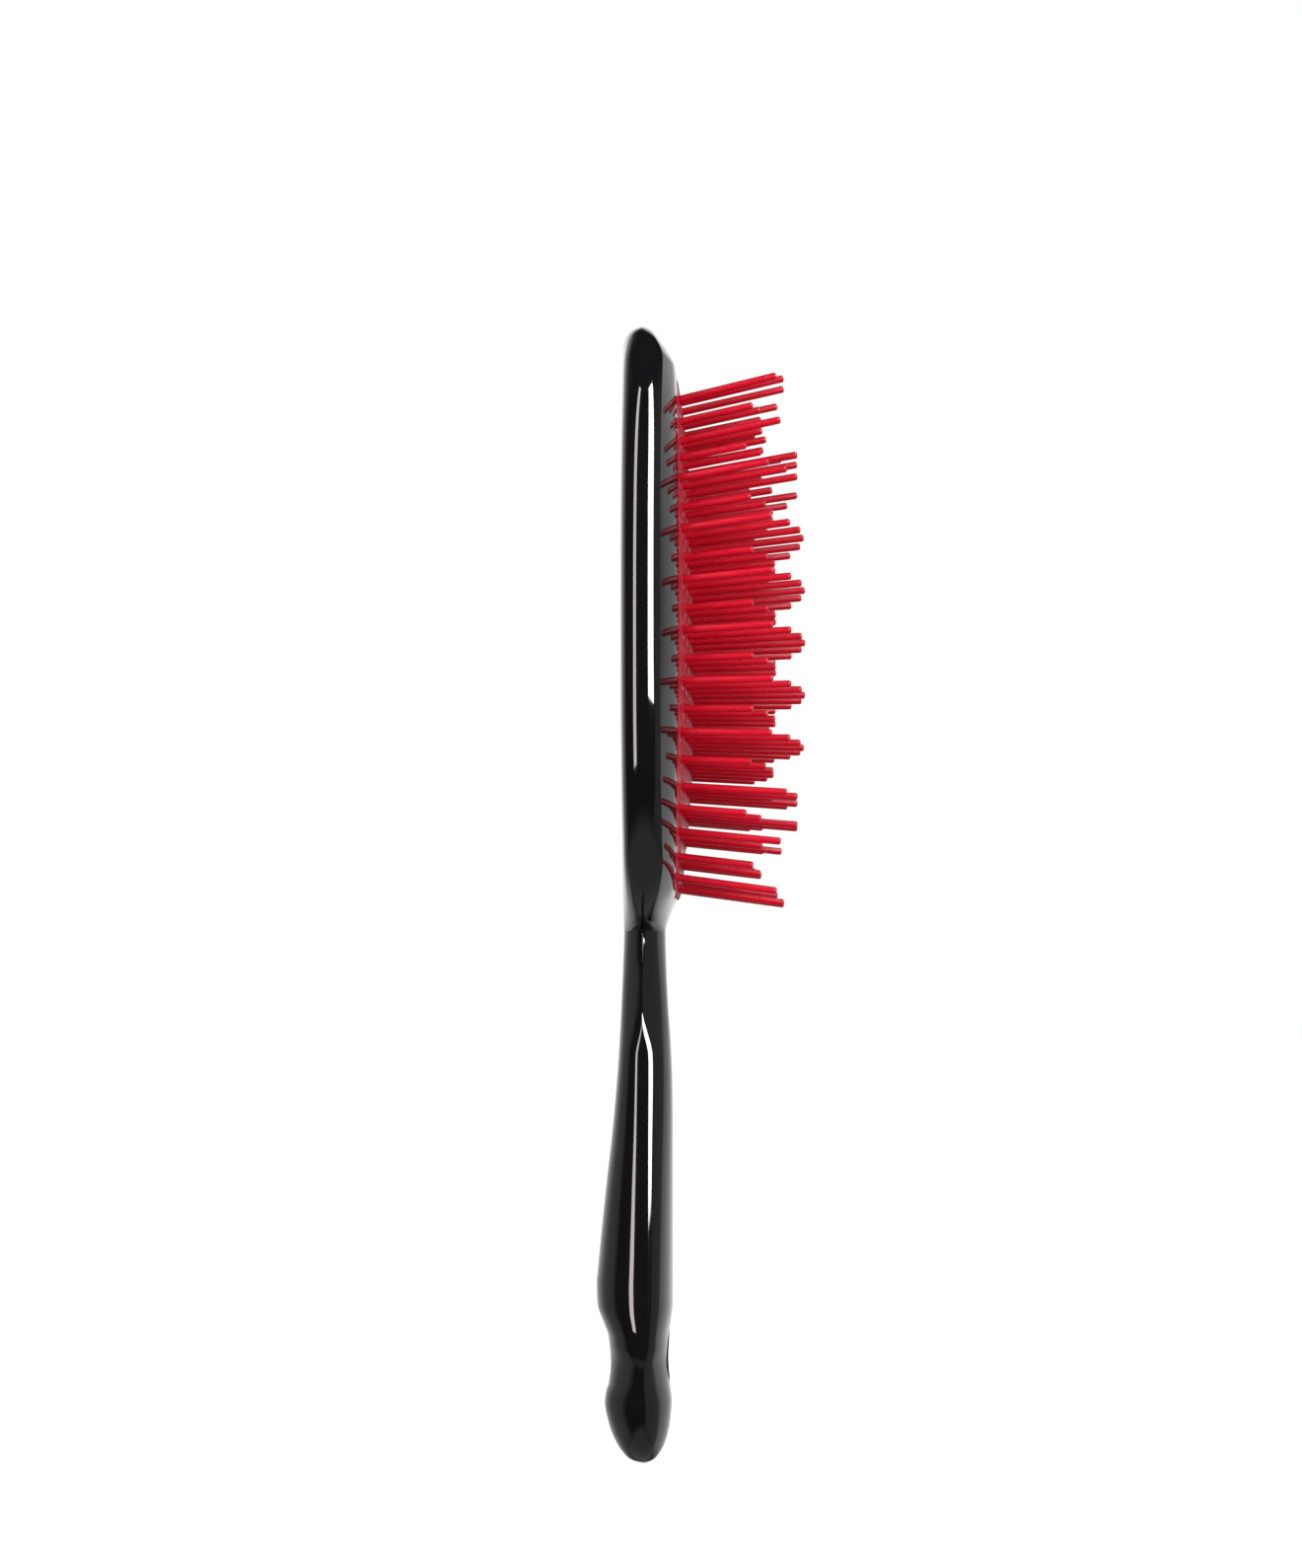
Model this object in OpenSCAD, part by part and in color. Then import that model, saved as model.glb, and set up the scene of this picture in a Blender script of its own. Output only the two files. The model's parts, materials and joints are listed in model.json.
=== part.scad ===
// Detangling hair brush: glossy handle and head, translucent pad, two heights of flexible pins.
// Frame: origin at the centre of the hanging hole, +Z towards the head's tip, +X the way the pins point.

/* [Overall] */
// Height of the head's tip above the hanging hole
tip_z = 194.5; // [190:0.5:200]
// Depth of the handle's end below the hanging hole
end_z = 20.5; // [18:0.5:23]
// Radius of the hanging hole
hang_hole_r = 4; // [3:0.25:4.5]

/* [Head] */
// Half of the head's width
head_half_w = 37.5; // [36:0.5:40]
// Half of the head's nominal length
head_half_l = 57.1; // [56:0.1:58]
// Squareness of the ovals: 2 is an ellipse
oval_power = 2.5; // [2.3:0.1:2.8]
// Width of the sloping rim around the pad
rim_w = 6.7; // [6.2:0.1:7.2]

/* [Pad] */
// Half of the pad's width
pad_half_w = 29.5; // [29:0.1:30]
// Half of the pad's length
pad_half_l = 49.1; // [49:0.1:49.3]
// Height of the middle of the pad above the hanging hole
pad_mid_z = 135.7; // [135.6:0.1:135.8]
// Front of the pad at its crown, measured from the handle's axis
pad_crown_x = 9.3; // [9:0.1:9.6]
// Thickness of the pad
pad_t = 1.4; // [1.2:0.1:1.5]

/* [Pins] */
// Radius of one pin
pin_r = 0.7; // [0.6:0.05:0.8]
// Spacing of the pins across the head at mid-length
pin_pitch = 8.2; // [8:0.1:8.4]
// Spacing of the rows along the head
row_pitch = 4.62; // [4.6:0.01:4.63]
// Front of the long pins at the crown
long_tip_x = 30.8; // [29:0.1:32]
// Front of the short pins at the crown
short_tip_x = 25.4; // [24:0.1:27]
// Outward lean of a pin for each place away from the middle, in degrees
splay_deg = 2.4; // [2:0.1:2.8]

/* [Strips] */
// Radius of the round spine that carries one row of pins
spine_r = 1.1; // [1:0.05:1.1]
// Depth of the spine's axis under the pad's crown line
spine_depth = 4.1; // [4.1:0.1:4.3]
// Radial clearance of a spine in its snap bearings
bearing_gap = 0.05; // [0.02:0.01:0.08]
// Radius of the holes in the pad around the pins
pad_hole_r = 1.25; // [1.2:0.05:1.35]

/* [Hidden] */
$fn = 48;
ROWS = 21;
MID_ROW = 10;
ROW_MID_Z = 134.5;              // height of the middle row where it leaves the pad
FAN_ZERO_Z = 124.15;            // height at which a pin stands square to the pad
FAN_RATE = 0.0039;              // rise per run gained for each millimetre of height
END_TIP_DROP = 3.9;             // how much lower the end rows' tips stand
SIDE_TIP_DROP = 0.648;          // drop of the tips for the square of the place
TIP_EDGE_R = 0.34;              // rounding of a tip's edge
CROWN_R = 450;                  // radius of the sphere that crowns the pad
LEDGE = 0.6;                    // ledge in the well that the pad's edge rests on
WELL_FLOOR_X = -1.6;            // bottom of the well in the head
FLOOR_T = 1.2;                  // thickness of the carrier's floor plate
PLATE_GAP = 0.4;                // gap around the carrier's floor plate in the well
RAIL_T = 1.4;                   // thickness of one bearing rail
RAIL_END_IN = 2;                // how far the inner rails stop short of the pad's ends
RAIL_END_OUT = 14;              // the same for the outer rails
INNER_RAIL_Y = 2.05;            // inner rails stand between the middle places
OUTER_RAIL_Y = 18.45;           // outer rails stand between places 2 and 2.5
RAIL_TOP = 0.9;                 // top of a rail above the spine's axis, which leaves a snap mouth
WEB_X = 1.7;                    // underside of a bowed row's web, above the spine's axis
WEB_T = 0.6;                    // thickness of the web
BAR_HALF = 0.8;                 // half the web's height where it carries the outer pins
STEM_HALF = 0.5;                // what the web adds beyond the line of the inner pins
SPINE_REACH = 0.3;              // rise of a bowed row that its straight spine still carries
SPINE_OVER = 0.9;               // how far a spine runs past its last pin
PAD_MARGIN = 2.3;               // room between the last pin of a row and the pad's edge
SIDE_X = 1.8;                   // front height of the head's widest line
EDGE_X = 5;                     // front height of the crisp edge between side wall and rim
EDGE_SHARE = 0.965;             // half-width at the crisp edge as a share of the whole
EDGE_A = 27;                    // section angle given to the side wall
RIM_POWER = 1.4;                // curve of the sloping rim
ROUND_POWER = 0.9;              // roundness of the handle's section
BACK_EDGE_X = -1.2;             // front height of the line where the side wall meets the back
BACK_EDGE_SHARE = 0.975;        // half-width at that line as a share of the whole
CORNER_SHARE = 0.3;             // share of the back's rise that lies in its rounded corner
CORNER_POWER = 30;              // tightness of that corner
HANDLE_TOP_Z = 96;              // height at which the handle's own outline ends inside the head
BLEND_Z = 79;                   // height at which the section starts to turn into the head's
BLEND_L = 14;                   // length of that turn
TIP_BLEND_L = 12;               // length over which the section turns round again at the tip
TIP_LEVEL_IN = 0.5;             // how far past the tip that second turn ends
END_ROUND_L = 8;                // length of the close sections at the handle's end
TIP_ROUND_L = 10;               // length of the close sections at the head's tip
LEVEL_FINE = 1.5;               // spacing of the sections where the neck meets the head
LEVEL_MID = 2.5;                // spacing around the waist
LEVEL_WIDE = 6;                 // spacing along straight stretches
head_mid_z = tip_z - head_half_l;

// Side outline of the handle and head: height above the hole, then back and front of the body.
BACK_X = [[-20.5, 0], [-19.4, -2.9], [-18.2, -4], [-16.4, -5.2], [-12.6, -6.7], [-8.8, -7.4],
    [-6.5, -7.1], [-5, -6.6], [0, -6.4], [4, -6.7], [6.5, -7.6], [10, -8.8], [13.5, -9],
    [17.5, -8.6], [32.5, -7.1], [44, -5.8], [59, -4.6], [74, -3.9], [80.4, -3.7], [88, -3.7],
    [100, -3.6], [175, -3.6], [187, -3.8], [190.5, -3.8], [192.5, -3.5], [193.7, -2.7],
    [194.2, -1.8], [194.5, 0]];
FRONT_X = [[-20.5, 0.3], [-19.4, 2.4], [-18.2, 3.3], [-16.4, 4.2], [-12.6, 5.1], [-8.8, 5.4],
    [-5, 5], [0, 4.8], [4, 4.9], [7, 5.3], [10, 5.6], [44, 5.6], [52, 5.5], [59, 5.2],
    [66, 4.7], [74, 4.35], [80.4, 4.2], [83.3, 4.9], [85.2, 5.6], [87.5, 6.6], [89.5, 6.8],
    [136, 8.1], [184, 6.8], [187, 6], [189.7, 4.8], [192, 3.7], [193.7, 2.4], [194.5, 0.3]];
// Front height of the handle's widest line by height.
RIDGE_X = [[-20.5, 0.15], [-19.4, 0.2], [-12, 0.4], [60, 0.5], [80, 0.3], [96, 0.3]];
// Half-width of the handle by height.
HANDLE_W = [[-20.5, 0.4], [-19.7, 3.4], [-18, 6.2], [-15, 8.8], [-10, 10.6], [-6, 10.9],
    [-2, 11.6], [2, 12.8], [6, 13.1], [12, 12.6], [60, 7.5], [66, 7.2], [78, 7.4], [86, 7.4], [96, 6]];
// How sharp the sides of the handle's section are: below 1 is full, above 1 comes to an edge.
HANDLE_EDGE = [[-20.5, 1.1], [-12, 1.3], [-4, 1.5], [-1, 1.35], [3, 0.9], [57, 0.9], [62.5, 1.5],
    [66, 1.9], [72, 1.9], [77, 1.5], [83, 1.5]];

// Half-width of an oval at a height measured from its middle
function oval_w(half_w, half_l, dz) =
    abs(dz) >= half_l ? 0 : half_w * pow(1 - pow(abs(dz) / half_l, oval_power), 1 / oval_power);
function clamp01(t) = min(1, max(0, t));
function ease(t) = t * t * (3 - 2 * t);

// Body section
function head_w(z) = oval_w(head_half_w, head_half_l, z - head_mid_z);
function handle_w(z) = z > HANDLE_TOP_Z ? 0 : lookup(z, HANDLE_W);
function body_w(z) = max(0.4, pow(pow(head_w(z), 4) + pow(handle_w(z), 4), 1 / 4));
function head_share(z) = ease(clamp01((z - BLEND_Z) / BLEND_L))
    * ease(clamp01((tip_z + TIP_LEVEL_IN - z) / TIP_BLEND_L));
// A point of the section at angle a, 0 at the side and 90 at the front
function spow(v, p) = sign(v) * pow(abs(v), p);
function round_pt(z, a) = let (ridge = lookup(z, RIDGE_X), out = lookup(z, a < 0 ? BACK_X : FRONT_X))
    [ridge + abs(out - ridge) * spow(sin(a), lookup(z, HANDLE_EDGE)),
    body_w(z) * spow(cos(a), ROUND_POWER)];
// The head's section: domed back with rounded corners, bulging side wall, crisp edge, sloping rim
function edge_w(z) = body_w(z) * EDGE_SHARE;
function rim_x(z, y) = let (s = clamp01((edge_w(z) - abs(y)) / rim_w))
    EDGE_X + (lookup(z, FRONT_X) - EDGE_X) * (1 - pow(1 - s, RIM_POWER));
function rim_y(z, a) = edge_w(z) * cos((a - EDGE_A) * 90 / (90 - EDGE_A));
function wall_pt(z, t, end_x, end_share) = [SIDE_X + (end_x - SIDE_X) * t,
    body_w(z) * (1 + (end_share - 1) * t * t)];
function dome_pt(z, v) = let (back = lookup(z, BACK_X), rise = BACK_EDGE_X - back)
    [back + rise * ((1 - CORNER_SHARE) * v * v + CORNER_SHARE * pow(v, CORNER_POWER)),
    body_w(z) * BACK_EDGE_SHARE * v];
function head_pt(z, a) =
    a >= EDGE_A ? [rim_x(z, rim_y(z, a)), rim_y(z, a)]
    : a >= 0 ? wall_pt(z, a / EDGE_A, EDGE_X, EDGE_SHARE)
    : a >= -EDGE_A ? wall_pt(z, -a / EDGE_A, BACK_EDGE_X, BACK_EDGE_SHARE)
    : dome_pt(z, cos((-a - EDGE_A) * 90 / (90 - EDGE_A)));
function section_pt(z, a) = let (h = head_share(z), r = round_pt(z, a), b = head_pt(z, a))
    [r[0] * (1 - h) + b[0] * h, r[1] * (1 - h) + b[1] * h];
ANGLES = [for (a = [-90 : 9 : 89]) a];
// Right half goes from back to front, left half from front to back
function section(z) = concat(
    [for (a = ANGLES) concat(section_pt(z, a), z)],
    [for (a = ANGLES) let (p = section_pt(z, -a)) [p[0], -p[1], z]]);
// Heights of the sections, closer together where the outline turns
LEVELS = concat(
    [for (a = [0 : 15 : 75]) -end_z + END_ROUND_L * (1 - cos(a)) + a / 300],
    [for (z = [-10 : LEVEL_MID : 17.5]) z],
    [for (z = [22 : LEVEL_WIDE : 52]) z],
    [for (z = [56 : LEVEL_MID : 76]) z],
    [for (z = [BLEND_Z : LEVEL_FINE : 94]) z],
    [for (z = [98 : LEVEL_WIDE : 182]) z],
    [for (a = [78.75 : -11.25 : 0]) tip_z - TIP_ROUND_L * (1 - cos(a))]);

// Rows and pins
function row_dist(n) = abs(n - MID_ROW) / MID_ROW;
function row_z(n) = ROW_MID_Z + row_pitch * (MID_ROW - n);
function row_fan(n) = FAN_RATE * (row_z(n) - FAN_ZERO_Z);
function spine_x(n) = pad_crown_x - spine_depth - pow(row_z(n) - pad_mid_z, 2) / (2 * CROWN_R);
function spine_z(n) = row_z(n) - row_fan(n) * spine_depth;
function row_p(n) = pin_pitch * (1 - 0.08 * pow(row_dist(n), 4));
// End rows bow towards the tip and the handle
function row_bow(n) = (n < MID_ROW ? -0.4 : 0.75) * pow(max(0, row_dist(n) - 0.6) / 0.4, 2);
function row_limit(n, u) =
    oval_w(pad_half_w, pad_half_l, row_z(n) + row_bow(n) * u * u - pad_mid_z) - PAD_MARGIN;
function row_first(n) = n == 0 || n == ROWS - 1 || n % 2 == 1 ? 0.5 : 0;
// Places of the pins on one side of a row, all of them and those within the spine's reach
function row_side(n) = [for (u = [row_first(n) : 3]) if (u * row_p(n) <= row_limit(n, u)) u];
function spine_side(n) = [for (u = row_side(n)) if (on_spine(n, u)) u];
function row_places(n) = concat([for (u = row_side(n)) if (u > 0) -u], row_side(n));
function on_spine(n, u) = abs(row_bow(n) * u * u) < SPINE_REACH;
function row_half(n) = max(row_side(n)) * row_p(n) + SPINE_OVER;
function spine_half(n) = max(spine_side(n)) * row_p(n) + SPINE_OVER;
// Long pins fill every second row, and stand in rings at the two ends of the head
function end_ring(n) = min(n, ROWS - 1 - n);
function is_long(n, u) = end_ring(n) == 0 ? true
    : end_ring(n) == 2 ? abs(u) > 1.5
    : end_ring(n) == 3 ? abs(u) < 1
    : end_ring(n) == 4 ? abs(u) > 0.5
    : n % 2 == 0;
function tip_x(n, u) = (is_long(n, u) ? long_tip_x : short_tip_x)
    - END_TIP_DROP * pow(row_dist(n), 3) - SIDE_TIP_DROP * u * u;
// A pin's foot, on the spine's axis or on the web of a bowed row, and its direction
function foot(n, u) = [spine_x(n) + (on_spine(n, u) ? 0 : WEB_X), u * row_p(n),
    spine_z(n) + row_bow(n) * u * u];
function lean(n, u) = [1, tan(splay_deg * u), row_fan(n)];

// Puts a shape that stands on its own Z axis at a foot, along a direction
module along(foot_pt, dir) {
    translate(foot_pt)
        rotate([0, acos(dir[2] / norm(dir)), atan2(dir[1], dir[0])])
            children();
}

// One pin: a round rod whose tip has a rounded edge
module pin(n, u) {
    dir = lean(n, u);
    pin_l = (tip_x(n, u) - foot(n, u)[0]) * norm(dir);
    along(foot(n, u), dir)
        rotate_extrude()
            union() {
                square([pin_r - TIP_EDGE_R, pin_l]);
                square([pin_r, pin_l - TIP_EDGE_R]);
                translate([pin_r - TIP_EDGE_R, pin_l - TIP_EDGE_R])
                    circle(TIP_EDGE_R);
            }
}

module oval_prism(half_w, half_l, x0, x1) {
    translate([x0, 0, pad_mid_z])
        rotate([90, 0, 90])
            linear_extrude(x1 - x0)
                polygon([for (t = [0 : 5 : 355])
                    [half_w * spow(cos(t), 2 / oval_power), half_l * spow(sin(t), 2 / oval_power)]]);
}

// Space behind a surface crowned both ways, whose crown stands at front x
module crowned(x) {
    translate([x - CROWN_R, 0, pad_mid_z])
        rotate([0, 0, 180])
            sphere(r = CROWN_R, $fn = 360);
}

module body_loft() {
    rings = [for (z = LEVELS) section(z)];
    n = len(rings[0]);
    last = len(rings) - 1;
    polyhedron(
        points = [for (r = rings) each r],
        faces = concat(
            [for (k = [0 : last - 1]) for (i = [0 : n - 1])
                [k * n + i, (k + 1) * n + i, k * n + (i + 1) % n]],
            [for (k = [0 : last - 1]) for (i = [0 : n - 1])
                [k * n + (i + 1) % n, (k + 1) * n + i, (k + 1) * n + (i + 1) % n]],
            [[for (i = [0 : n - 1]) i]],
            [[for (i = [n - 1 : -1 : 0]) last * n + i]]));
}

// One-piece handle and head, with the well for the pad and the hanging hole
module handle_body() {
    color("black")
        difference() {
            body_loft();
            oval_prism(pad_half_w - LEDGE, pad_half_l - LEDGE, WELL_FLOOR_X, 12);
            difference() {
                oval_prism(pad_half_w, pad_half_l, 0, 12);
                crowned(pad_crown_x - pad_t);
            }
            rotate([0, 90, 0])
                cylinder(r = hang_hole_r, h = 40, center = true);
        }
}

// Translucent flexible pad, crowned both ways, with one hole for each pin
module pad() {
    color("crimson")
        difference() {
            intersection() {
                crowned(pad_crown_x);
                oval_prism(pad_half_w, pad_half_l, 0, 12);
            }
            crowned(pad_crown_x - pad_t);
            for (n = [0 : ROWS - 1])
                for (u = row_places(n))
                    along(foot(n, u), lean(n, u))
                        cylinder(r = pad_hole_r, h = 2 * spine_depth);
        }
}

// A bearing rail that follows the crowned line of the spines
module rail(y, half_l) {
    intersection() {
        translate([spine_x(MID_ROW) + RAIL_TOP - CROWN_R, y, pad_mid_z])
            rotate([90, 0, 0])
                cylinder(r = CROWN_R, h = RAIL_T, center = true, $fn = 360);
        translate([WELL_FLOOR_X, y - RAIL_T / 2, pad_mid_z - half_l])
            cube([20, RAIL_T, 2 * half_l]);
    }
}

// Hidden floor plate with four rails; each row's spine snaps into them and can rock
module strip_carrier() {
    color("dimgray")
        difference() {
            union() {
                oval_prism(pad_half_w - LEDGE - PLATE_GAP, pad_half_l - LEDGE - PLATE_GAP,
                    WELL_FLOOR_X, WELL_FLOOR_X + FLOOR_T);
                for (side = [-1, 1]) {
                    rail(side * INNER_RAIL_Y, pad_half_l - RAIL_END_IN);
                    rail(side * OUTER_RAIL_Y, pad_half_l - RAIL_END_OUT);
                }
            }
            for (n = [0 : ROWS - 1])
                translate([spine_x(n), 0, spine_z(n)])
                    rotate([90, 0, 0])
                        cylinder(r = spine_r + bearing_gap, h = 60, center = true);
        }
}

// One row of pins on its round spine; a bowed row has a web that carries its outer pins
module pin_strip(n) {
    bow_z = row_bow(n) * pow(max(row_side(n)), 2);
    color("crimson")
        union() {
            translate([spine_x(n), 0, spine_z(n)])
                rotate([90, 0, 0])
                    cylinder(r = spine_r, h = 2 * spine_half(n), center = true);
            if (len(spine_side(n)) < len(row_side(n))) {
                translate([spine_x(n) + WEB_X, -row_half(n), spine_z(n) + bow_z - BAR_HALF])
                    cube([WEB_T, 2 * row_half(n), 2 * BAR_HALF]);
                translate([spine_x(n) + WEB_X, -spine_half(n),
                    spine_z(n) + min(0, bow_z) - STEM_HALF])
                    cube([WEB_T, 2 * spine_half(n), abs(bow_z) + 2 * STEM_HALF]);
            }
            for (u = row_places(n))
                pin(n, u);
        }
}

handle_body();
pad();
strip_carrier();
pin_strip(0);  // pin_strip_01
pin_strip(1);  // pin_strip_02
pin_strip(2);  // pin_strip_03
pin_strip(3);  // pin_strip_04
pin_strip(4);  // pin_strip_05
pin_strip(5);  // pin_strip_06
pin_strip(6);  // pin_strip_07
pin_strip(7);  // pin_strip_08
pin_strip(8);  // pin_strip_09
pin_strip(9);  // pin_strip_10
pin_strip(10);  // pin_strip_11
pin_strip(11);  // pin_strip_12
pin_strip(12);  // pin_strip_13
pin_strip(13);  // pin_strip_14
pin_strip(14);  // pin_strip_15
pin_strip(15);  // pin_strip_16
pin_strip(16);  // pin_strip_17
pin_strip(17);  // pin_strip_18
pin_strip(18);  // pin_strip_19
pin_strip(19);  // pin_strip_20
pin_strip(20);  // pin_strip_21
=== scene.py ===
"""Looks of the detangling hair brush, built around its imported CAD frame.

Shapes are given in millimetres in the shared frame: X towards the pins, Y across the brush and Z
from the centre of the hanging hole up to the head's tip. Lights and camera are placed in metres.
"""

import json
import math

import bmesh
import bpy
import numpy as np
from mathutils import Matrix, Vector


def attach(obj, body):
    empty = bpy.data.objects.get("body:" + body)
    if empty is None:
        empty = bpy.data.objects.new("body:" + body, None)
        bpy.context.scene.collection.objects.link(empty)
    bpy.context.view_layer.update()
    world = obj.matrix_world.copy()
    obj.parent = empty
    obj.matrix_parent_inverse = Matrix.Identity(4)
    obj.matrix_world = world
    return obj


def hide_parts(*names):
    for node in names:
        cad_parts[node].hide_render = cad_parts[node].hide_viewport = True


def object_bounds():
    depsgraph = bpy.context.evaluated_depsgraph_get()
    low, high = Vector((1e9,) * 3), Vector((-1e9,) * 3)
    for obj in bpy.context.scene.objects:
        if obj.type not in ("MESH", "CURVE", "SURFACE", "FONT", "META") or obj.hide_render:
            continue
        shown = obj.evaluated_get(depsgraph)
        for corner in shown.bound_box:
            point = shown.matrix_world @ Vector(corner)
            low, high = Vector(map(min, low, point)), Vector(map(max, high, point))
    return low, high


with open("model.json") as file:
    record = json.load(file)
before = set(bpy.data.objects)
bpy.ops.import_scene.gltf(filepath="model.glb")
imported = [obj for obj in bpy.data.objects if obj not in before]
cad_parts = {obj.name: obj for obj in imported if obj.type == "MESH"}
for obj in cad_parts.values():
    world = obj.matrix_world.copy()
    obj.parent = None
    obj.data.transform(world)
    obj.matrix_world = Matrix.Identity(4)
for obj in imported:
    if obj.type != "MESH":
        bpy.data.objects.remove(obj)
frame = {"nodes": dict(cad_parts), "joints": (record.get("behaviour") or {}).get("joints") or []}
cad_lo, cad_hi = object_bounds()

MM = 0.001
ROWS = 21
MID_ROW = 10

# Outlines of the body as (z, value) points. This pair is its side view.
BACK_X = [(-20.5, 0), (-19.4, -2.9), (-18.2, -4), (-16.4, -5.2), (-12.6, -6.7), (-8.8, -7.4),
          (-6.5, -7.1), (-5, -6.6), (0, -6.4), (4, -6.7), (6.5, -7.6), (10, -8.8), (13.5, -8.93),
          (17.5, -8.6), (32.5, -7.1), (44, -5.8), (59, -4.6), (74, -3.9), (80.4, -3.7), (88, -3.7),
          (100, -3.6), (175, -3.6), (187, -3.8), (190.5, -3.8), (192.5, -3.5), (193.7, -2.7),
          (194.2, -1.8), (194.5, 0)]
FRONT_X = [(-20.5, 0.3), (-19.4, 2.4), (-18.2, 3.3), (-16.4, 4.2), (-12.6, 5.1), (-8.8, 5.4),
           (-5, 5), (0, 4.8), (4, 4.9), (7, 5.3), (10, 5.6), (44, 5.6), (52, 5.5), (59, 5.2),
           (66, 4.7), (74, 4.35), (80.4, 4.2), (83.3, 4.9), (85.2, 5.6), (87.5, 6.6), (89.5, 6.8),
           (136, 8.1), (184, 6.8), (187, 6), (189.7, 4.8), (192, 3.7), (193.7, 2.4), (194.5, 0.3)]
# X of the handle's widest line.
RIDGE_X = [(-20.5, 0.15), (-19.4, 0.2), (-12, 0.4), (12, 0.8), (60, 0.1), (80, 0.3), (96, 0.3)]
# Half-width of the handle.
HANDLE_W = [(-20.5, 0.4), (-19.7, 3.4), (-18, 6.2), (-15, 8.8), (-10, 10.6), (-6, 10.9), (-2, 11.6),
            (2, 12.8), (6, 13.1), (12, 12.6), (36, 10.05), (60, 7.5), (66, 7.2), (78, 7.4), (86, 7.4),
            (96, 6)]
# How sharp the sides of the handle's section are: below 1 is full, above 1 comes to an edge.
HANDLE_EDGE = [(-20.5, 1.1), (-12, 1.3), (-4, 1.5), (-1, 1.35), (3, 0.9), (57, 0.9), (62.5, 1.5),
               (66, 1.9), (72, 1.9), (77, 1.5), (83, 1.5)]

# Head
TIP_Z = cad_hi.z / MM
END_Z = cad_lo.z / MM
HEAD_HALF_W = 37.49
HEAD_HALF_L = 57.1
OVAL_POWER = 2.5             # squareness of the ovals: 2 is an ellipse
RIM_W = 6.7                  # width of the sloping rim
RIM_POWER = 1.4              # curve of the rim
SIDE_X = 1.8                 # X of the head's widest line
EDGE_X = 5.0                 # X of the crisp edge between side wall and rim
EDGE_A = 27.0                # section angle given to the side wall
EDGE_SHARE = 0.965           # half-width at the crisp edge as a share of the whole
BACK_EDGE_X = -1.2           # X of the line where the side wall meets the back
BACK_EDGE_SHARE = 0.975      # half-width at that line as a share of the whole
CORNER_SHARE = 0.3           # share of the back's rise that lies in its rounded corner
CORNER_POWER = 30            # tightness of that corner

# Handle
HANDLE_TOP_Z = 96            # height at which the handle's own outline ends inside the head
ROUND_POWER = 0.9            # roundness of the handle's section
BLEND_Z = 79                 # height at which the section starts to turn into the head's
BLEND_L = 14                 # length of that turn
TIP_BLEND_L = 12             # length over which the section turns round again at the tip
TIP_LEVEL_IN = 0.5           # how far past the tip that second turn ends
THIN_W = 0.4                 # half-width left at the two ends
HANG_HOLE_R = 4.0
HOLE_SIDES = 64
HOLE_LIP_R = 0.9             # rounding of the hanging hole's edges
LIP_OUT = 0.25               # how far the rounding starts outside the surface
CUT_OVER = 4                 # how far a cutter reaches past what it cuts

# Pad and well
PAD_HALF_W = 29.5
PAD_HALF_L = 49.1
PAD_MID_Z = 135.7
PAD_CROWN_X = 9.3
PAD_T = 1.4
CROWN_R = 450.0              # radius of the sphere that crowns the pad
PAD_EDGE_IN = 1.1            # rounding of the pad's edge, inwards
PAD_EDGE_DOWN = 0.95         # and downwards
PAD_CORE_IN = 29.3           # innermost ring of the pad's skin, measured from its edge
PAD_SIDES = 160
WELL_SIDES = 144
WELL_FLOOR_X = -1.6
WELL_TOP_X = 14              # where the well's cutter ends, in front of the rim
LEDGE = 0.6                  # ledge in the well that the pad's edge rests on
SEAT_X = PAD_CROWN_X - PAD_T
PIN_HOLE_R = 1.45            # hole in the pad's skin under a collar
# Collar round a pin, as (height above the pad, radius)
COLLAR = [(-1.3, 1.15), (0.12, 1.15), (0.2, 1.2), (0.24, 1.28), (0.2, 1.4), (0.08, 1.7),
          (0.0, 2.0), (-0.15, 2.1), (-0.3, 1.6), (-1.3, 1.6)]
COLLAR_SIDES = 20

# Rows and pins
PIN_R = 0.7
PIN_TAPER = 0.02             # how much a pin is thicker at its foot and thinner at its tip
PIN_FOOT_SHARE = 0.3         # share of a pin that keeps the thicker radius
PIN_SIDES = 20
TIP_EDGE_R = 0.42            # rounding of a tip's edge
PIN_PITCH = 8.2
PITCH_DROP = 0.08            # how much closer the pins of the end rows stand
ROW_PITCH = 4.62
ROW_MID_Z = 134.5
FAN_ZERO_Z = 124.15          # height at which a pin stands square to the pad
FAN_RATE = 0.0039            # rise per run gained for each millimetre of height
TIP_BOW = -0.4               # bow of the row nearest the tip
HANDLE_BOW = 0.75            # bow of the row nearest the handle
STRAIGHT_SHARE = 0.6         # rows nearer the middle than this are straight
LAST_PLACE = 3.5             # no place lies further out than this
PAD_MARGIN = 2.3             # room between the last pin of a row and the pad's edge
SPINE_R = 1.1
SPINE_END_R = 0.3            # bevel of a spine's ends
SPINE_REACH = 0.3            # rise of a bowed row that its straight spine still carries
SPINE_OVER = 0.9             # how far a spine runs past its last pin
SPINE_SIDES = 24
SPLAY_DEG = 2.4              # outward lean of a pin for each place away from the middle
LONG_TIP_X = 30.8
SHORT_TIP_X = 25.4
END_TIP_DROP = 3.9           # how much lower the end rows' tips stand
SIDE_TIP_DROP = 0.648        # drop of the tips for the square of the place
WEB_X = 1.7                  # underside of a bowed row's web, above the spine's axis
WEB_T = 0.6
BAR_HALF = 0.8               # half the web's height where it carries the outer pins
STEM_HALF = 0.5              # what the web adds beyond the line of the inner pins


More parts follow.
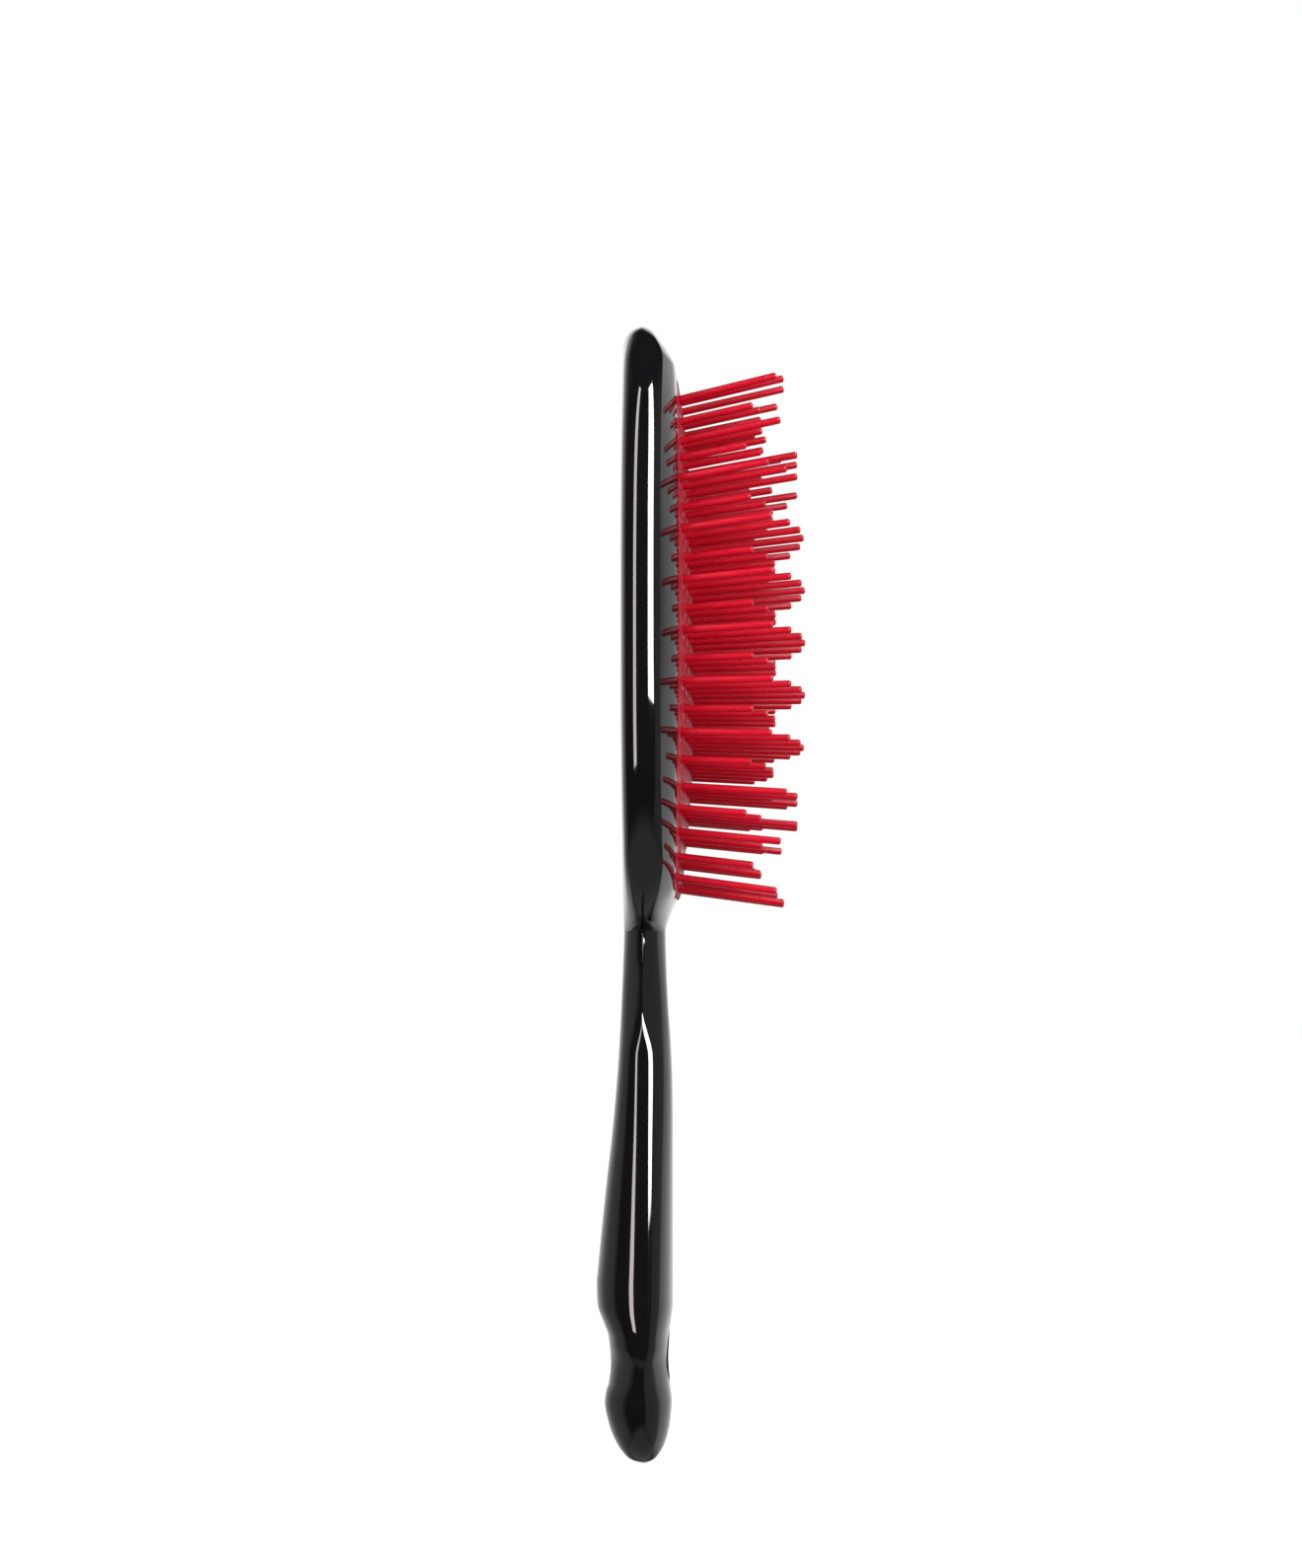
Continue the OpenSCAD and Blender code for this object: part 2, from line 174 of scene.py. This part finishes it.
class Curve:
    """A smooth line through (place, value) points that doesn't overshoot them."""

    def __init__(self, points):
        self.t, self.v = (np.array(c, float) for c in zip(*points))
        gap = np.diff(self.t)
        rise = np.diff(self.v) / gap
        self.m = np.zeros_like(self.t)
        wa, wb = 2 * gap[1:] + gap[:-1], gap[1:] + 2 * gap[:-1]
        same = rise[:-1] * rise[1:] > 0
        inner = np.zeros(len(rise) - 1)
        inner[same] = (wa + wb)[same] / (wa[same] / rise[:-1][same] + wb[same] / rise[1:][same])
        self.m[1:-1] = inner
        self.m[0], self.m[-1] = rise[0], rise[-1]

    def __call__(self, x):
        x = np.clip(x, self.t[0], self.t[-1])
        i = np.clip(np.searchsorted(self.t, x) - 1, 0, len(self.t) - 2)
        h = self.t[i + 1] - self.t[i]
        s = (x - self.t[i]) / h
        return ((1 + 2 * s) * (1 - s) ** 2 * self.v[i] + s * (1 - s) ** 2 * h * self.m[i]
                + s * s * (3 - 2 * s) * self.v[i + 1] + s * s * (s - 1) * h * self.m[i + 1])


back_x, front_x, ridge_x = Curve(BACK_X), Curve(FRONT_X), Curve(RIDGE_X)
handle_curve, edge_curve = Curve(HANDLE_W), Curve(HANDLE_EDGE)


def oval_w(half_w, half_l, dz):
    """Half-width of an oval at a height measured from its middle."""
    share = min(1.0, abs(dz) / half_l)
    return half_w * (1 - share ** OVAL_POWER) ** (1 / OVAL_POWER)


def ease(t):
    """0 below 0, 1 above 1, smooth between them."""
    t = min(1.0, max(0.0, t))
    return t * t * (3 - 2 * t)


def spow(v, p):
    """A power that keeps the sign."""
    return math.copysign(abs(v) ** p, v)


def body_w(z):
    """Half-width of the body, where the head and the handle run into each other."""
    head = oval_w(HEAD_HALF_W, HEAD_HALF_L, z - (TIP_Z - HEAD_HALF_L))
    grip = 0.0 if z > HANDLE_TOP_Z else float(handle_curve(z))
    return max(THIN_W, (head ** 4 + grip ** 4) ** 0.25)


def grip_point(z, a):
    """(x, y) of the handle's section, a rounded form about its ridge."""
    s, c = math.sin(math.radians(a)), math.cos(math.radians(a))
    ridge = float(ridge_x(z))
    out = float(back_x(z) if a < 0 else front_x(z))
    return (ridge + abs(out - ridge) * spow(s, float(edge_curve(z))), body_w(z) * spow(c, ROUND_POWER))


def head_point(z, a):
    """(x, y) of the head's section: domed back, bulging side wall, crisp edge and sloping rim."""
    w, front, back = body_w(z), float(front_x(z)), float(back_x(z))
    t = abs(a) / EDGE_A
    if t < 1:
        end_x, end_share = (EDGE_X, EDGE_SHARE) if a >= 0 else (BACK_EDGE_X, BACK_EDGE_SHARE)
        return (SIDE_X + (end_x - SIDE_X) * t, w * (1 + (end_share - 1) * t * t))
    if a > 0:
        y = w * EDGE_SHARE * math.cos(math.radians((a - EDGE_A) * 90 / (90 - EDGE_A)))
        up = min(1.0, (w * EDGE_SHARE - y) / RIM_W)
        return (EDGE_X + (front - EDGE_X) * (1 - (1 - up) ** RIM_POWER), y)
    v = max(0.0, math.cos(math.radians((-a - EDGE_A) * 90 / (90 - EDGE_A))))
    rise = (1 - CORNER_SHARE) * v * v + CORNER_SHARE * v ** CORNER_POWER
    return (back + (BACK_EDGE_X - back) * rise, w * BACK_EDGE_SHARE * v)


def section_point(z, a):
    """(x, y) of the body's section at height z. Angle a runs from -90, the back, to 90, the front."""
    share = ease((z - BLEND_Z) / BLEND_L) * ease((TIP_Z + TIP_LEVEL_IN - z) / TIP_BLEND_L)
    return tuple(g * (1 - share) + h * share for g, h in zip(grip_point(z, a), head_point(z, a)))


def smooth_faces(bm, smooth_angle):
    """Makes faces smooth, but keeps edges sharper than the angle."""
    for f in bm.faces:
        f.smooth = True
    for e in bm.edges:
        if len(e.link_faces) == 2:
            e.smooth = e.calc_face_angle(0) < math.radians(smooth_angle)


def new_object(name, bm, smooth_angle=40):
    """A mesh object in metres from a bmesh in millimetres."""
    bmesh.ops.scale(bm, vec=(MM, MM, MM), verts=bm.verts)
    bmesh.ops.recalc_face_normals(bm, faces=bm.faces)
    bm.normal_update()
    smooth_faces(bm, smooth_angle)
    mesh = bpy.data.meshes.new(name)
    bm.to_mesh(mesh)
    bm.free()
    obj = bpy.data.objects.new(name, mesh)
    bpy.context.scene.collection.objects.link(obj)
    return obj


def skin(bm, rings, closed_ends=True):
    """Joins rings of points, each closed on itself, into one skin."""
    rows = [[bm.verts.new(p) for p in ring] for ring in rings]
    n = len(rows[0])
    for a, b in zip(rows, rows[1:]):
        for i in range(n):
            bm.faces.new((a[i], a[(i + 1) % n], b[(i + 1) % n], b[i]))
    if closed_ends:
        for row, flip in ((rows[0], True), (rows[-1], False)):
            hub = bm.verts.new(sum((v.co for v in row), Vector()) / n)
            for i in range(n):
                pair = (row[(i + 1) % n], row[i]) if flip else (row[i], row[(i + 1) % n])
                bm.faces.new((*pair, hub))
    return rows


def lathe(bm, foot, direction, profile, segments, closed_ends=True):
    """Revolves (height, radius) points about a line from foot along direction."""
    turn = Vector((0, 0, 1)).rotation_difference(Vector(direction)).to_matrix()
    rings = []
    for h, r in profile:
        rings.append([Vector(foot) + turn @ Vector((r * math.cos(t), r * math.sin(t), h))
                      for t in (2 * math.pi * k / segments for k in range(segments))])
    return skin(bm, rings, closed_ends)


def cut(obj, cutter):
    """Takes cutter out of obj for good."""
    mod = obj.modifiers.new("cut", "BOOLEAN")
    mod.operation = "DIFFERENCE"
    mod.solver = "EXACT"
    mod.object = cutter
    bpy.context.view_layer.update()
    mesh = bpy.data.meshes.new_from_object(obj.evaluated_get(bpy.context.evaluated_depsgraph_get()))
    obj.modifiers.clear()
    obj.data = mesh
    bpy.data.objects.remove(cutter)
    bm = bmesh.new()
    bm.from_mesh(mesh)
    smooth_faces(bm, 30)
    bm.to_mesh(mesh)
    bm.free()


def crown_x(y, z, crown):
    """X of the pad's sphere over a point of the head."""
    return crown - CROWN_R + math.sqrt(CROWN_R ** 2 - y * y - (z - PAD_MID_Z) ** 2)


def oval_ring(half_w, half_l, count):
    """Points of an oval, evenly turned round its middle, as (y, z)."""
    ring = []
    for k in range(count):
        t = 2 * math.pi * k / count
        ring.append((half_w * spow(math.cos(t), 2 / OVAL_POWER),
                     PAD_MID_Z + half_l * spow(math.sin(t), 2 / OVAL_POWER)))
    return ring


# ---------------------------------------------------------------- body
def make_body():
    """Shell skinned over rings, with the well and the hanging hole cut out of it."""
    # The rings and their points stand close together where the outline and the section turn fast
    levels = [END_Z + 8 * (1 - math.cos(math.radians(t))) + 0.0005 * t for t in range(0, 76, 3)]
    levels += list(np.arange(-13.5, 20, 0.75)) + list(np.arange(20, 78, 1.5))
    levels += list(np.arange(78, 97, 0.6)) + list(np.arange(97, 183, 1.4))
    levels += [TIP_Z - 11 * (1 - math.cos(math.radians(t))) for t in range(87, -1, -3)]
    levels = sorted(levels)
    angles = [-90 + 3 * k for k in range(37)] + [20 + 1.0 * k for k in range(6)]
    angles += [26, 26.5, 26.8, 27, 27.2, 27.6, 28.2, 29] + [30 + 3 * k for k in range(20)]
    angles = sorted(set(float(a) for a in angles if a < 90))
    rings = []
    for z in levels:
        half = [section_point(z, a) for a in angles] + [section_point(z, 90)]
        ring = [Vector((x, y, z)) for x, y in half]
        ring += [Vector((x, -y, z)) for x, y in half[-2:0:-1]]
        rings.append(ring)
    bm = bmesh.new()
    skin(bm, rings)
    obj = new_object("body_shell", bm)

    # The well: a narrow deep part, and a shallow seat that follows the pad's underside
    bm = bmesh.new()
    inner = oval_ring(PAD_HALF_W - LEDGE, PAD_HALF_L - LEDGE, WELL_SIDES)
    outer = oval_ring(PAD_HALF_W, PAD_HALF_L, WELL_SIDES)
    skin(bm, [[Vector((WELL_FLOOR_X, y, z)) for y, z in inner],
              [Vector((crown_x(y, z, SEAT_X), y, z)) for y, z in inner],
              [Vector((crown_x(y, z, SEAT_X), y, z)) for y, z in outer],
              [Vector((WELL_TOP_X, y, z)) for y, z in outer]])
    cut(obj, new_object("well_cutter", bm))

    # The hanging hole, with rounded lips on both faces
    bm = bmesh.new()
    back, front = float(back_x(0)), float(front_x(0))
    turns = [math.radians(t) for t in range(0, 91, 15)]
    lip = [(HOLE_LIP_R * math.sin(t) - LIP_OUT, HANG_HOLE_R + HOLE_LIP_R * (1 - math.sin(t)))
           for t in turns]
    profile = [(back - CUT_OVER, HANG_HOLE_R + HOLE_LIP_R)]
    profile += [(back + h, r) for h, r in lip]
    profile += [(front - h, r) for h, r in reversed(lip)]
    profile += [(front + CUT_OVER, HANG_HOLE_R + HOLE_LIP_R)]
    lathe(bm, (0, 0, 0), (1, 0, 0), profile, HOLE_SIDES)
    cut(obj, new_object("hole_cutter", bm))
    return obj


# ---------------------------------------------------------------- rows of pins
def row_dist(n):
    """0 for the middle row, 1 for the two end rows."""
    return abs(n - MID_ROW) / MID_ROW


def row_axis(n):
    """X and z of the row's spine, read from the joint it rocks on."""
    pos = frame["joints"][n]["pos_m"]
    return pos[0] / MM, pos[2] / MM


def row_z(n):
    """Z of the row's middle pin at the pad."""
    return ROW_MID_Z + ROW_PITCH * (MID_ROW - n)


def row_fan(n):
    """Rise per run of the row's pins."""
    return FAN_RATE * (row_z(n) - FAN_ZERO_Z)


def row_p(n):
    """Distance between neighbouring pins of the row."""
    return PIN_PITCH * (1 - PITCH_DROP * row_dist(n) ** 4)


def row_bow(n):
    """Rise of the row for the square of the place."""
    most = TIP_BOW if n < MID_ROW else HANDLE_BOW
    return most * (max(0, row_dist(n) - STRAIGHT_SHARE) / (1 - STRAIGHT_SHARE)) ** 2


def on_spine(n, u):
    """True where a pin stands on the straight spine, false where it needs the web."""
    return abs(row_bow(n) * u * u) < SPINE_REACH


def row_places(n):
    """Places of the pins across the row, 0 in the middle."""
    first = 0.5 if n in (0, ROWS - 1) or n % 2 else 0.0
    side = []
    u = first
    while u <= LAST_PLACE:
        dz = row_z(n) + row_bow(n) * u * u - PAD_MID_Z
        if u * row_p(n) <= oval_w(PAD_HALF_W, PAD_HALF_L, dz) - PAD_MARGIN:
            side.append(u)
        u += 1
    return sorted({-u for u in side} | set(side))


def is_long(n, u):
    """Long pins fill every second row, and stand in rings at the two ends of the head."""
    ring = min(n, ROWS - 1 - n)
    if ring == 0:
        return True
    if ring in (2, 3, 4):
        return {2: abs(u) > 1.5, 3: abs(u) < 1, 4: abs(u) > 0.5}[ring]
    return n % 2 == 0


def pin_line(n, u):
    """Foot, direction and tip depth of one pin."""
    x, z = row_axis(n)
    foot = Vector((x + (0 if on_spine(n, u) else WEB_X), u * row_p(n), z + row_bow(n) * u * u))
    direction = Vector((1, math.tan(math.radians(SPLAY_DEG * u)), row_fan(n)))
    tip = LONG_TIP_X if is_long(n, u) else SHORT_TIP_X
    return foot, direction, tip - END_TIP_DROP * row_dist(n) ** 3 - SIDE_TIP_DROP * u * u


def pin_profile(length):
    """(height, radius) points of a pin with a rounded edge at its tip."""
    foot_r, end_r = PIN_R + PIN_TAPER, PIN_R - PIN_TAPER
    profile = [(0, foot_r), (length * PIN_FOOT_SHARE, foot_r), (length - TIP_EDGE_R, end_r)]
    for d in (15, 30, 45, 60, 75, 90):
        t = math.radians(d)
        profile.append((length - TIP_EDGE_R * (1 - math.sin(t)), end_r - TIP_EDGE_R * (1 - math.cos(t))))
    return profile


def make_row(n):
    """One row: a round spine, a web under the outer pins of a bowed row, and the pins."""
    bm = bmesh.new()
    x, z = row_axis(n)
    places = row_places(n)
    on = [u for u in places if on_spine(n, u)]
    reach = max(on) * row_p(n) + SPINE_OVER
    ends = [(0, SPINE_R - SPINE_END_R), (SPINE_END_R, SPINE_R)]
    profile = ends + [(2 * reach - h, r) for h, r in reversed(ends)]
    lathe(bm, (x, -reach, z), (0, 1, 0), profile, SPINE_SIDES)
    if len(on) < len(places):
        bow = row_bow(n) * max(places) ** 2
        full = max(places) * row_p(n) + SPINE_OVER
        stem_low = min(0, bow) - STEM_HALF
        for half_y, z0, z1 in ((full, bow - BAR_HALF, bow + BAR_HALF),
                               (reach, stem_low, stem_low + abs(bow) + 2 * STEM_HALF)):
            box = bmesh.ops.create_cube(bm, size=1)["verts"]
            bmesh.ops.scale(bm, vec=(WEB_T, 2 * half_y, z1 - z0), verts=box)
            bmesh.ops.translate(bm, vec=(x + WEB_X + WEB_T / 2, 0, z + (z0 + z1) / 2), verts=box)
    for u in places:
        foot, direction, tip = pin_line(n, u)
        length = (tip - foot.x) * direction.length
        lathe(bm, foot, direction.normalized(), pin_profile(length), PIN_SIDES)
    return new_object("pins_row_%02d" % (n + 1), bm, 50)


# ---------------------------------------------------------------- pad
def pad_ring(shrink, crown):
    """A ring of the pad's skin, shrink inwards from its edge."""
    return [Vector((crown_x(y, z, crown), y, z))
            for y, z in oval_ring(PAD_HALF_W - shrink, PAD_HALF_L - shrink, PAD_SIDES)]


def pin_exit(foot, way):
    """Where a pin leaves the pad's front."""
    t = 0.0
    for _ in range(4):
        at = foot + way * t
        t += (crown_x(at.y, at.z, PAD_CROWN_X) - at.x) / way.x
    return foot + way * t


def make_pad():
    """Crowned pad with a rounded edge, and a raised collar round every pin."""
    bm = bmesh.new()
    rings = [pad_ring(s, SEAT_X) for s in (PAD_CORE_IN, 20, 10, 0.05)]
    for d in (0, 22.5, 45, 67.5, 90):
        t = math.radians(d)
        rings.append(pad_ring(0.02 + PAD_EDGE_IN * (1 - math.cos(t)),
                              PAD_CROWN_X - PAD_EDGE_DOWN * (1 - math.sin(t))))
    rings += [pad_ring(s, PAD_CROWN_X) for s in (1.6, 3, 6, 10, 15, 20, 25, PAD_CORE_IN)]
    skin(bm, rings)
    obj = new_object("pad_skin", bm, 50)

    holes = bmesh.new()
    collars = bmesh.new()
    for n in range(ROWS):
        for u in row_places(n):
            foot, direction, _ = pin_line(n, u)
            way = direction.normalized()
            top = pin_exit(foot, way)
            hole = [(0, PIN_HOLE_R), (2 * CUT_OVER, PIN_HOLE_R)]
            lathe(holes, top - way * CUT_OVER, way, hole, COLLAR_SIDES)
            rows = lathe(collars, top, way, COLLAR, COLLAR_SIDES, closed_ends=False)
            last, first = rows[-1], rows[0]
            for i in range(COLLAR_SIDES):
                k = (i + 1) % COLLAR_SIDES
                collars.faces.new((last[i], last[k], first[k], first[i]))
    cut(obj, new_object("hole_cutters", holes))
    ring_obj = new_object("collar_rings", collars, 50)
    both = bmesh.new()
    both.from_mesh(obj.data)
    both.from_mesh(ring_obj.data)
    both.to_mesh(obj.data)
    both.free()
    bpy.data.objects.remove(ring_obj)
    return obj


# ---------------------------------------------------------------- materials
def material(name, **sockets):
    """A node material with numbers and colours set straight on the shader's sockets."""
    mat = bpy.data.materials.new(name)
    mat.use_nodes = True
    shader = mat.node_tree.nodes["Principled BSDF"]
    for key, value in sockets.items():
        shader.inputs[key.replace("_", " ")].default_value = value
    return mat, mat.node_tree, shader


def noise(tree, scale, detail=3.0, stretch=(1, 1, 1)):
    """Noise in object space. A low stretch along an axis draws it out along that axis."""
    coords = tree.nodes.new("ShaderNodeTexCoord")
    mapping = tree.nodes.new("ShaderNodeMapping")
    mapping.inputs["Scale"].default_value = stretch
    node = tree.nodes.new("ShaderNodeTexNoise")
    node.inputs["Scale"].default_value = scale
    node.inputs["Detail"].default_value = detail
    tree.links.new(coords.outputs["Object"], mapping.inputs["Vector"])
    tree.links.new(mapping.outputs["Vector"], node.inputs["Vector"])
    return node.outputs["Fac"]


def ramp(tree, value, low, high, to_low, to_high):
    """Value carried from the range low to high onto the range to_low to to_high."""
    node = tree.nodes.new("ShaderNodeMapRange")
    for key, v in (("From Min", low), ("From Max", high), ("To Min", to_low), ("To Max", to_high)):
        node.inputs[key].default_value = v
    tree.links.new(value, node.inputs["Value"])
    return node.outputs["Result"]


def mix(tree, share, a, b):
    """A colour between a and b."""
    node = tree.nodes.new("ShaderNodeMix")
    node.data_type = "RGBA"
    node.inputs["A"].default_value = (*a, 1)
    node.inputs["B"].default_value = (*b, 1)
    tree.links.new(share, node.inputs["Factor"])
    return node.outputs["Result"]


def bump(tree, shader, height, strength, distance):
    node = tree.nodes.new("ShaderNodeBump")
    node.inputs["Strength"].default_value = strength
    node.inputs["Distance"].default_value = distance
    tree.links.new(height, node.inputs["Height"])
    tree.links.new(node.outputs["Normal"], shader.inputs["Normal"])


def gloss_black():
    mat, tree, shader = material("gloss_black", IOR=1.5)
    tree.links.new(mix(tree, noise(tree, 60, 2), (0.0035, 0.0035, 0.004), (0.0065, 0.006, 0.0065)),
                   shader.inputs["Base Color"])
    scuffs = noise(tree, 900, 5, (1, 1, 0.12))
    tree.links.new(ramp(tree, scuffs, 0.35, 0.8, 0.035, 0.1), shader.inputs["Roughness"])
    bump(tree, shader, noise(tree, 140, 1), 0.006, 0.0001)
    return mat


def red_plastic():
    mat, tree, shader = material("red_pins", IOR=1.48, Specular_IOR_Level=0.18,
                                 Subsurface_Weight=0.08, Subsurface_Scale=0.0012,
                                 Subsurface_Radius=(1.0, 0.12, 0.12))
    along = noise(tree, 400, 3, (0.15, 1, 1))
    tree.links.new(mix(tree, along, (0.5, 0.0004, 0.012), (0.6, 0.0008, 0.02)),
                   shader.inputs["Base Color"])
    tree.links.new(ramp(tree, noise(tree, 1500, 3), 0.3, 0.7, 0.26, 0.38), shader.inputs["Roughness"])
    bump(tree, shader, noise(tree, 2500, 2), 0.05, 0.00005)
    return mat


def red_rubber():
    mat, tree, shader = material("red_pad", IOR=1.45, Specular_IOR_Level=0.3,
                                 Subsurface_Weight=0.2, Subsurface_Scale=0.003,
                                 Subsurface_Radius=(1.0, 0.2, 0.2))
    tree.links.new(mix(tree, noise(tree, 150, 3), (0.42, 0.001, 0.015), (0.52, 0.002, 0.025)),
                   shader.inputs["Base Color"])
    tree.links.new(ramp(tree, noise(tree, 900, 3), 0.3, 0.7, 0.3, 0.42), shader.inputs["Roughness"])
    bump(tree, shader, noise(tree, 1600, 3), 0.12, 0.00008)
    return mat


def carrier_plastic():
    mat, tree, shader = material("carrier_plastic", IOR=1.5)
    tree.links.new(mix(tree, noise(tree, 200, 4), (0.018, 0.018, 0.02), (0.035, 0.034, 0.036)),
                   shader.inputs["Base Color"])
    tree.links.new(ramp(tree, noise(tree, 800, 4), 0.3, 0.7, 0.45, 0.65), shader.inputs["Roughness"])
    bump(tree, shader, noise(tree, 1800, 4), 0.2, 0.0001)
    return mat


# ---------------------------------------------------------------- the object
BLACK = gloss_black()
PINS = red_plastic()
RUBBER = red_rubber()
CARRIER = carrier_plastic()


def coat(obj, mat):
    obj.data.materials.clear()
    obj.data.materials.append(mat)


body = make_body()
coat(body, BLACK)
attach(body, "handle")
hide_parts("handle_body")

pad = make_pad()
coat(pad, RUBBER)
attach(pad, "handle")
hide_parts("pad")

for n in range(ROWS):
    row = make_row(n)
    coat(row, PINS)
    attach(row, "strip_%02d" % (n + 1))
    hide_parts("pin_strip_%02d" % (n + 1))

coat(frame["nodes"]["strip_carrier"], CARRIER)

# ---------------------------------------------------------------- camera
YAW = math.radians(-3.156)
PITCH = math.radians(1.086)
camera_data = bpy.data.cameras.new("camera")
camera = bpy.data.objects.new("camera", camera_data)
bpy.context.scene.collection.objects.link(camera)
bpy.context.scene.camera = camera
camera_data.sensor_width = 36
camera_data.lens = 58.93
camera_data.shift_y = 0.1006
camera_data.clip_start = 0.01
camera_data.clip_end = 50
look = Vector((math.sin(YAW) * math.cos(PITCH), math.cos(YAW) * math.cos(PITCH), math.sin(PITCH)))
camera.location = Vector((28.34, -488.34, 69.21)) * MM
camera.rotation_mode = "QUATERNION"
camera.rotation_quaternion = look.to_track_quat("-Z", "Y")

# ---------------------------------------------------------------- floor
FLOOR_R = 4000
FLOOR_GAP = 0.05             # gap between the handle's end and the floor
bm = bmesh.new()
bmesh.ops.create_circle(bm, cap_ends=True, segments=96, radius=FLOOR_R)
bmesh.ops.translate(bm, vec=(0, 0, END_Z - FLOOR_GAP), verts=bm.verts)
floor = new_object("floor", bm)
pale = material("pale_floor", Roughness=0.9, Base_Color=(0.9, 0.9, 0.9, 1),
                Emission_Color=(1, 1, 1, 1), Emission_Strength=0.75)[0]
floor.data.materials.append(pale)
floor.visible_glossy = False
floor.visible_diffuse = False

# ---------------------------------------------------------------- world
# The camera sees plain white. Only reflections see the room.
world = bpy.data.worlds.new("studio")
bpy.context.scene.world = world
world.use_nodes = True
wt = world.node_tree
wt.nodes.clear()


def world_math(operation, a, b=None):
    node = wt.nodes.new("ShaderNodeMath")
    node.operation = operation
    for i, v in enumerate((a, b)):
        if v is None:
            continue
        if isinstance(v, (int, float)):
            node.inputs[i].default_value = v
        else:
            wt.links.new(v, node.inputs[i])
    return node.outputs[0]


def world_step(value, low, high):
    """0 before low, 1 past high, smooth between them."""
    node = wt.nodes.new("ShaderNodeMapRange")
    node.interpolation_type = "SMOOTHSTEP"
    node.inputs["From Min"].default_value = low
    node.inputs["From Max"].default_value = high
    wt.links.new(value, node.inputs["Value"])
    return node.outputs["Result"]


coords = wt.nodes.new("ShaderNodeTexCoord")
split = wt.nodes.new("ShaderNodeSeparateXYZ")
wt.links.new(coords.outputs["Generated"], split.inputs[0])
way_x, way_y, way_z = split.outputs["X"], split.outputs["Y"], split.outputs["Z"]

# Level with the object the room is dark in front, grey at the sides and bright behind
across = world_math("ABSOLUTE", way_x)
upright = world_math("ABSOLUTE", way_z)
level_way = world_math("DIVIDE", across, world_math("ADD", across, upright))
is_side = world_step(level_way, 0.25, 0.6)
is_right = world_step(way_x, -0.05, 0.05)
right = world_math("ADD", world_math("MULTIPLY", world_step(way_y, -0.62, -0.5), 0.32),
                   world_math("MULTIPLY", world_step(way_y, 0.3, 0.5), 0.6))
left = world_math("ADD", world_math("MULTIPLY", world_step(way_y, -0.3, 0.0), 0.4),
                  world_math("MULTIPLY", world_step(way_y, 0.4, 0.9), 0.45))
sides = world_math("ADD", world_math("MULTIPLY", right, is_right),
                   world_math("MULTIPLY", left, world_math("SUBTRACT", 1.0, is_right)))
low_front = world_math("MULTIPLY", world_step(way_z, -0.6, -0.8), 0.36)
behind = world_step(way_y, 0.78, 0.92)
room = world_math("MAXIMUM", world_math("MULTIPLY", sides, is_side),
                  world_math("MAXIMUM", behind, low_front))
room = world_math("ADD", room, 0.01)

# Diffuse rays see less of the white than the camera does
path = wt.nodes.new("ShaderNodeLightPath")
plain = world_math("MULTIPLY", path.outputs["Is Diffuse Ray"], -0.7)
plain = world_math("ADD", plain, 1.0)
glossy = path.outputs["Is Glossy Ray"]
level = world_math("ADD", world_math("MULTIPLY", glossy, room),
                   world_math("MULTIPLY", world_math("SUBTRACT", 1.0, glossy), plain))
background = wt.nodes.new("ShaderNodeBackground")
background.inputs["Color"].default_value = (1, 1, 1, 1)
wt.links.new(level, background.inputs["Strength"])
output = wt.nodes.new("ShaderNodeOutputWorld")
wt.links.new(background.outputs[0], output.inputs["Surface"])


# ---------------------------------------------------------------- lights
WARM_WHITE = (1.0, 0.9, 0.86)
COOL_WHITE = (0.96, 0.98, 1.0)
WHITE = (1.0, 1.0, 1.0)


def soft_light(name, azimuth, distance, width, low, high, strength, colour, shows_in_gloss):
    """A softbox that faces the object, azimuth degrees to the right of the camera side, in metres.

    It lights either reflections or matt surfaces, and the camera never sees it.
    """
    data = bpy.data.lights.new(name, "AREA")
    data.shape = "RECTANGLE"
    data.size = width
    data.size_y = high - low
    data.energy = strength * width * (high - low)
    data.color = colour
    obj = bpy.data.objects.new(name, data)
    bpy.context.scene.collection.objects.link(obj)
    a = math.radians(azimuth)
    obj.location = (distance * math.sin(a), -distance * math.cos(a), (low + high) / 2)
    aim = Vector((0, 0, (low + high) / 2)) - obj.location
    obj.rotation_mode = "QUATERNION"
    obj.rotation_quaternion = aim.to_track_quat("-Z", "Y")
    obj.visible_camera = False
    obj.visible_glossy = shows_in_gloss
    obj.visible_diffuse = not shows_in_gloss


soft_light("streak_right", 38, 0.5, 0.19, 0.085, 1.3, 110, COOL_WHITE, True)
soft_light("streak_left", -30, 0.5, 0.09, -0.08, 1.3, 40, WARM_WHITE, True)
soft_light("fill_right", 35, 1.2, 0.7, -0.2, 0.8, 18, WHITE, False)
soft_light("fill_left", -35, 1.2, 0.7, -0.2, 0.8, 18, WHITE, False)

bpy.context.scene.view_settings.view_transform = "Standard"
